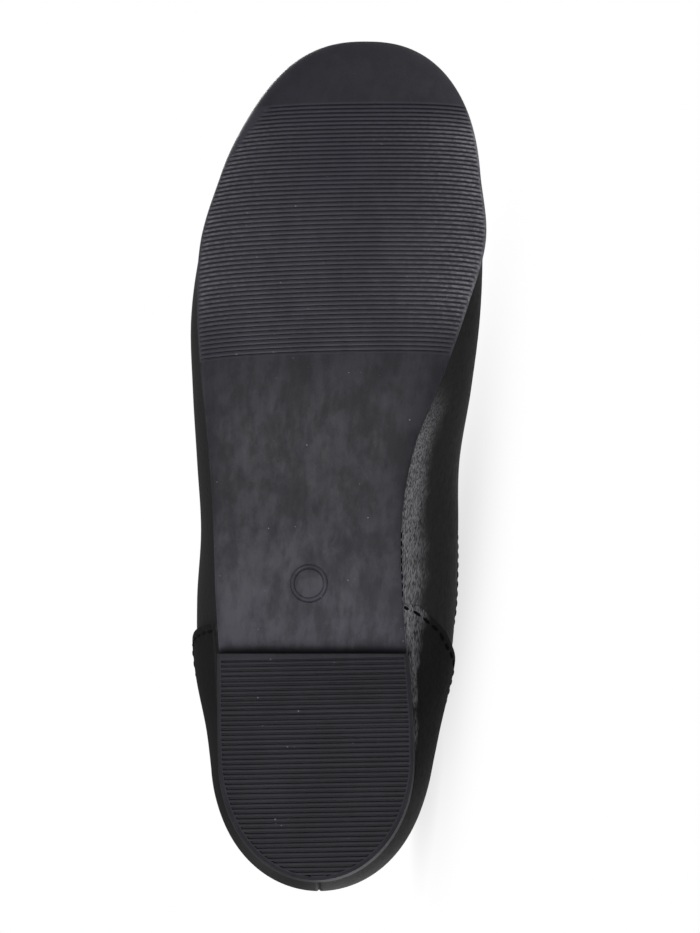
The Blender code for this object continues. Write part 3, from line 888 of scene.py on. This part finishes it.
# slack shaft lying on the floor
bootShaft = dict(
    columns=232, rows=150, lap=3 / 22, lapRows=8, rowPower=1.15, inside=(75 * mm, 8 * mm, 300 * mm),
    top=540 * mm, blend=70 * mm, oval=0.92,
    # height, back along, front along, lowest and highest lift off the floor
    sections=[
        (100, 9, 100, 3, 68.5), (150, 11.5, 105, 2.2, 70), (200, 14.5, 119, -1.5, 72), (260, 17, 137, -4.5, 74),
        (330, 18.5, 151, -5, 75), (430, 20, 162, -5, 76), (540, 21, 170, -5, 78),
    ],
    # height, angle round the leg, rise over a quarter turn, half length as an angle, width, depth
    folds=[
        (112, 20, 8, 60, 5.5, 1.5), (124, -30, -10, 62, 6.5, 1.8), (137, 15, 12, 70, 7.5, 2.1),
        (152, -18, -8, 62, 8.5, 1.8), (126, 160, 10, 52, 7, 1.5), (143, 200, -8, 52, 8, 1.7),
        (170, 30, 14, 74, 10, 1.9), (190, -60, -16, 60, 11, 1.5), (214, 100, 22, 58, 13, 1.7),
        (248, 40, -26, 64, 15, 1.9), (286, 95, 30, 52, 17, 1.7), (322, 150, -24, 50, 17, 1.6),
        (350, 70, 34, 60, 19, 2), (398, 110, -30, 56, 21, 1.8), (440, 60, 28, 52, 20, 1.6),
        (474, 130, -20, 48, 18, 1.4), (300, -80, 20, 44, 16, 1.2), (392, -70, -22, 44, 18, 1.2),
        (506, 80, 10, 60, 14, 1),
    ],
    foldRidges=0.55, foldSpread=1.05, calm=60 * mm, calmShare=0.75,
    # scale and depth of the uneven skin
    uneven=((26.0, 0.9 * mm), (70.0, 0.25 * mm)),
    settle=1.8 * mm, hem=14 * mm, hemThick=0.5 * mm, edge=0.4 * mm,
    seamWidth=0.7 * mm, seamDepth=0.7 * mm, seamRadius=33 * mm,
    seamColumns=(-2.4, -1.5, -0.9, -0.45, 0.45, 0.9, 1.5, 2.4),
)


def shaftFoot(share, angle):
    level = 1 - bootShaft["lap"] * (1 - np.minimum(1, share))
    point, normal = skinAt(upperPoint, level, angle, foot["inAnkle"])
    return point - normal * (foot["wall"] + foot["gap"])


def shaftPoint(share, angle):  # share below 1 is the lap inside the upper, 1 to 2 runs up to the collar
    b = bootShaft
    start = shaftFoot(share, angle)
    height = start[:, 2] + (b["top"] - start[:, 2]) * np.clip(share - 1, 0, 1)
    back, front, low, high = (smoothRead(b["sections"], column, height) for column in range(1, 5))
    turn, lift = np.cos(angle), np.sin(angle)
    along = (back + front) / 2 + (front - back) / 2 * np.sign(turn) * np.abs(turn) ** b["oval"]
    up = (low + high) / 2 + (high - low) / 2 * np.sign(lift) * np.abs(lift) ** b["oval"]
    leg = joined(along, (up - lie["lift"] - along * leanSin) / leanCos, height)
    ankle = joined(start[:, 0], start[:, 1], height)
    return ankle + (leg - ankle) * ease(0, b["blend"], height - start[:, 2])[:, None]


def wrapped(angle):
    return np.mod(angle + pi, 2 * pi) - pi


def shaftFolds(height, angle):
    b = bootShaft
    total = np.zeros(len(height))
    for level, middle, rise, reach, width, depth in b["folds"]:
        aside = wrapped(angle - radians(middle))
        away = (height - (level + rise * aside / (pi / 2)) * mm) / (width * mm)
        valley = trough(away, b["foldRidges"], b["foldSpread"])
        total -= depth * mm * valley * np.exp(-(aside / radians(reach)) ** 2)
    return total


def makeShaft():
    b = bootShaft
    seamAngles = pi + np.array(b["seamColumns"]) * mm / b["seamRadius"]
    angles = np.sort(np.r_[np.linspace(0, 2 * pi, b["columns"] - 9), seamAngles])
    lapShares = np.linspace(0, 1, b["lapRows"], endpoint=False)
    shares = np.r_[lapShares, 1 + np.linspace(0, 1, b["rows"] - b["lapRows"]) ** b["rowPower"]]
    placed = {}

    def shape(u, v):
        placed["share"], placed["angle"] = rowAt(shares, v), rowAt(angles, u)
        return shaftPoint(placed["share"], placed["angle"])

    shaft = gridPiece("bootShaft", len(angles) - 1, len(shares) - 1, shape)
    faceOutward(shaft, b["inside"])
    at = bootSizes(readPoints(shaft))
    free = ease(1.0, 1.03, placed["share"])
    uneven = sum(np.array([noise.noise(Vector(p) * scale) for p in at]) * depth for scale, depth in b["uneven"])
    ends = 1 - b["calmShare"] * ease(b["top"] - b["calm"], b["top"], at[:, 2])
    amount = (shaftFolds(at[:, 2], placed["angle"]) * ends + uneven) * free
    away = wrapped(placed["angle"] - pi) * b["seamRadius"] / b["seamWidth"]
    amount -= b["seamDepth"] * np.exp(-away ** 2) * free
    amount += b["hemThick"] * ease(b["top"] - b["hem"] - 1 * mm, b["top"] - b["hem"], at[:, 2])
    pushOut(shaft, amount)
    # the slack leather rounds off where it meets the floor
    points = readPoints(shaft)
    settled = b["settle"] * np.logaddexp(0, points[:, 2] / b["settle"])
    points[:, 2] += (settled - points[:, 2]) * free
    writePoints(shaft, points)
    editAll(shaft, bpy.ops.mesh.remove_doubles, threshold=1e-5)
    keepOffFloor(shaft)
    thicken(shaft, foot["wall"], 1)
    roundEdges(shaft, b["edge"], 70)
    dress(shaft, "shaftLeather", "shaftLining")
    done(shaft, "shaft_leather", "shaft", angle=50)


# moulded ring on the waist
waistRing = dict(along=86.5 * mm, across=11.7 * mm, radius=4.7 * mm, bead=0.75 * mm, flat=0.8)


def makeRing():
    r = waistRing
    ring = added(
        "waistRing", bpy.ops.mesh.primitive_torus_add, major_segments=64, minor_segments=10,
        major_radius=r["radius"], minor_radius=r["bead"])
    local = readPoints(ring)
    along, across = r["along"] + local[:, 0], r["across"] + local[:, 1]
    writePoints(ring, layDown(joined(along, across, soleBottom(along) + local[:, 2] * r["flat"])))
    faceOutward(ring, (r["along"], r["across"], soleBottom(r["along"])))
    dress(ring, "soleRubber")
    done(ring, "sole_rubber")


# stitches: one small bead repeated along each sewn line
stitchLook = dict(
    length=2.3 * mm, pitch=3.0 * mm, radius=0.34 * mm, wide=1.15, sink=0.08 * mm, reach=0.4 * mm,
    counterInset=2.1 * mm, counterSize=1.4, counterEnd=0.98, counterLeast=4 * mm,
    ankleInsets=(2.2 * mm, 4.6 * mm), ankleLift=0.8 * mm,
    innerRise=1.6 * mm, innerSize=0.95, innerSmooth=41,
    soleSpan=(83 * mm, 102 * mm), soleOut=0.25 * mm, soleRise=0.2 * mm, soleSize=0.8,
    backAside=2.6 * mm, backSpan=(1.012, 1.985), hem=1.975,
)


def stitchRow(points, normals, scale=1.0):
    s = stitchLook
    steps = lengthsOf(points)
    places = np.arange(s["pitch"] * scale / 2, steps[-1], s["pitch"] * scale)

    def read(rows, at):
        return joined(*(np.interp(at, steps, rows[:, i]) for i in range(3)))

    middle, normal = read(points, places), read(normals, places)
    ahead = unit(read(points, places + s["reach"]) - read(points, places - s["reach"]))
    normal = unit(normal - ahead * np.sum(normal * ahead, 1, keepdims=True))
    return middle, ahead, normal, np.full(len(places), scale)


def makeStitches(name, slot, rows):
    s = stitchLook
    bead = added("bead", bpy.ops.mesh.primitive_uv_sphere_add, segments=8, ring_count=6, radius=1)
    base = readPoints(bead)
    faces = [tuple(p.vertices) for p in bead.data.polygons]
    middle, ahead, normal, scale = (np.concatenate(part) for part in zip(*rows))
    size = joined(scale * s["radius"] * s["wide"], scale * s["radius"], scale * s["length"] / 2)
    local = base[None] * size[:, None]
    points = (
        middle[:, None] + np.cross(ahead, normal)[:, None] * local[..., 0:1]
        + normal[:, None] * (local[..., 1:2] - s["sink"]) + ahead[:, None] * local[..., 2:3])
    every = [tuple(v + i * len(base) for v in face) for i in range(len(middle)) for face in faces]
    mesh = bpy.data.meshes.new(name)
    mesh.from_pydata(layDown(points.reshape(-1, 3)).tolist(), [], every)
    bead.data = mesh
    bead.name = name
    editAll(bead, bpy.ops.mesh.normals_make_consistent, inside=False)
    keepOffFloor(bead)
    dress(bead, "waxedThread")
    done(bead, slot)


def counterLine():  # up the outer front edge, then along the top
    s = stitchLook
    inset, reach = s["counterInset"], heelCounter["outerReach"]
    start = (1 - np.arccos(1 - 2 * (reach - inset) / reach) / pi) / 2
    columns = np.linspace(start, s["counterEnd"], 600)
    extent, steep = counterExtent(columns)
    keep = extent > s["counterLeast"]
    rows = (1 - inset * steep / extent)[keep]
    climb = np.linspace(0.06, rows[0], 60, endpoint=False)
    return counterSkin(np.r_[climb, rows], np.r_[np.full(60, start), columns[keep]])


def ankleLine(inset):
    angles = np.linspace(0, 2 * pi, 500)
    one = np.full(500, 1.0)
    reach = np.linalg.norm(upperPoint(one, angles) - upperPoint(one - 0.02, angles), axis=1) / 0.02
    point, normal = skinAt(upperPoint, 1 - inset / reach, angles, foot["inAnkle"])
    return point + normal * stitchLook["ankleLift"]


def innerLine():
    s = stitchLook
    seam = np.array(footUpper["innerSeam"]) * mm
    t, half = np.linspace(0, len(seam) - 1, 300), s["innerSmooth"] // 2
    along, height = (
        np.convolve(
            np.pad(np.interp(t, np.arange(len(seam)), seam[:, i]), half, "edge"),
            np.ones(s["innerSmooth"]) / s["innerSmooth"], "valid")
        for i in range(2))
    height = height + s["innerRise"]
    return joined(along, upperEdge(along, height, -1) - 1 * mm, height)


def soleLine():  # short row that shows beside the arch
    s = stitchLook
    along = np.linspace(*s["soleSpan"], 60)
    points = joined(along, soleEdge(along, -1) - s["soleOut"], feather(along) + s["soleRise"])
    return points, np.tile((0.0, -0.8, -0.6), (60, 1))


def onSkin(piece, points, reach=12 * mm):  # nearest place on a finished skin, with its outward normal
    found = [piece.closest_point_on_mesh(Vector(p), distance=reach) for p in layDown(points)]
    return bootSizes(np.array([hit[1] for hit in found])), footTurn(np.array([hit[2] for hit in found]))


def makeSeams():
    s = stitchLook
    makeStitches("counterStitches", "counter_leather", [stitchRow(*counterLine(), s["counterSize"])])
    upper, shaft = bpy.data.objects["footUpper"], bpy.data.objects["bootShaft"]
    rows = [stitchRow(*onSkin(upper, ankleLine(inset))) for inset in s["ankleInsets"]]
    rows.append(stitchRow(*onSkin(upper, innerLine()), s["innerSize"]))
    rows.append(stitchRow(*soleLine(), s["soleSize"]))
    makeStitches("upperStitches", "vamp_leather", rows)
    shares, angles = np.linspace(*s["backSpan"], 500), np.linspace(0, 2 * pi, 600)
    lines = [
        shaftPoint(shares, np.full(500, pi + aside / bootShaft["seamRadius"]))
        for aside in (-s["backAside"], s["backAside"])]
    lines.append(shaftPoint(np.full(600, s["hem"]), angles))
    makeStitches("shaftStitches", "shaft_leather", [stitchRow(*onSkin(shaft, line)) for line in lines])


makeSole()
makeHeel()
makeUpper()
makeCounter()
makeShaft()
makeRing()
makeSeams()
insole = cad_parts["insole"]
insole.data.materials.clear()
dress(insole, "sockCloth")

# pale floor and soft light
stageLook = dict(
    # the floor glows faintly for light reaching the boot, a painted stand-in for bounced light
    floor=4.0, tone=0.88, bounceGlow=0.18, sky=0.09, seen=1.0,
    # soft shade on the floor: middle, reach across and along the boot, inner edge as a share, tone at the middle
    shades=[(-0.03, -0.15, 0.105, 0.387, 0.0, 0.73), (-0.035, 0.03, 0.095, 0.4, 0.5, 0.8)],
)
lightLooks = [
    # name, place, aim, width, height, power
    ("overhead", (0.1, -0.9, 2.1), (0, -0.6, 0), 2.6, 1.5, 24.0),
    ("key", (-0.53, -2.2, 0.1), (0, -0.27, 0.04), 0.5, 0.5, 31.0),
    ("toeSide", (1.4, 1.1, 0.9), (-0.04, 0.05, 0.04), 1.2, 0.7, 30.0),
    ("heelSide", (-1.5, 0.5, 1.1), (-0.04, 0.1, 0.04), 1.0, 0.7, 12.0),
]


def makeFloor():  # the camera sees a plain glow with the shade painted in, and the floor's fainter glow lights the boot in place of bounced light
    look = stageLook
    floor = added("floor", bpy.ops.mesh.primitive_plane_add, size=look["floor"])
    f = Finish("floorPaper")
    seen = f.node("LightPath", out="Is Camera Ray")
    lit = f.blend(f.noise(9, 3), grey(look["tone"] * 0.99, 1.0), grey(look["tone"], 1.0))
    glow = 1.0
    for x, y, wide, long, edge, tone in look["shades"]:
        reach = f.node("Mapping", {
            "Vector": f.place, "Location": (-x / wide, -y / long, 0), "Scale": (1 / wide, 1 / long, 0)})
        reach = f.node("VectorMath", {0: reach}, "Value", operation="LENGTH")
        shade = f.step(reach, edge, 1.0, tone, 1.0)
        glow = shade.maths("MINIMUM", shade, glow)
    f.set(Base_Color=f.blend(seen, lit, 0.0), Roughness=0.85, Specular_IOR_Level=0.0)
    f.set(Emission_Color=f.blend(seen, look["bounceGlow"], glow), Emission_Strength=1.0)
    dress(floor, "floorPaper")


def makeLights():
    world = bpy.data.worlds.new("studio")
    world.use_nodes = True
    tree = world.node_tree
    back = tree.nodes["Background"]
    back.inputs["Color"].default_value = (1, 1, 1, 1)
    seen = Wire(tree, tree.nodes.new("ShaderNodeLightPath").outputs["Is Camera Ray"])
    plug(tree, back.inputs["Strength"], stageLook["sky"] + seen * (stageLook["seen"] - stageLook["sky"]))
    scene.world = world
    for name, place, aim, width, height, power in lightLooks:
        light = bpy.data.lights.new(name, "AREA")
        light.shape, light.size, light.size_y, light.energy = "RECTANGLE", width, height, power
        lamp = bpy.data.objects.new(name, light)
        scene.collection.objects.link(lamp)
        lamp.location = place
        lamp.rotation_euler = (Vector(aim) - Vector(place)).to_track_quat("-Z", "Y").to_euler()
    scene.view_settings.view_transform = "Standard"


# camera at the photograph's angle, rolled so that the toe points up in the picture
cameraLook = dict(aim=(118.3 * mm, 0.0, 0.0), tilt=radians(9), distance=741 * mm, lens=135.2)


def makeCamera():
    ahead, tilt = Vector((leanCos, 0, leanSin)), cameraLook["tilt"]
    look = ahead * sin(tilt) + Vector((0, cos(tilt), 0))
    up = ahead * cos(tilt) - Vector((0, sin(tilt), 0))
    camera = bpy.data.objects.new("camera", bpy.data.cameras.new("camera"))
    scene.collection.objects.link(camera)
    matrix = Matrix((look.cross(up), up, -look)).transposed().to_4x4()
    matrix.translation = Vector(layDown(cameraLook["aim"])) - look * cameraLook["distance"]
    camera.matrix_world = matrix
    camera.data.lens = cameraLook["lens"]
    camera.data.sensor_width = 36
    camera.data.sensor_fit = "HORIZONTAL"
    camera.data.clip_start = 0.01
    scene.camera = camera


makeFloor()
makeLights()
makeCamera()
print("stage and camera ready")
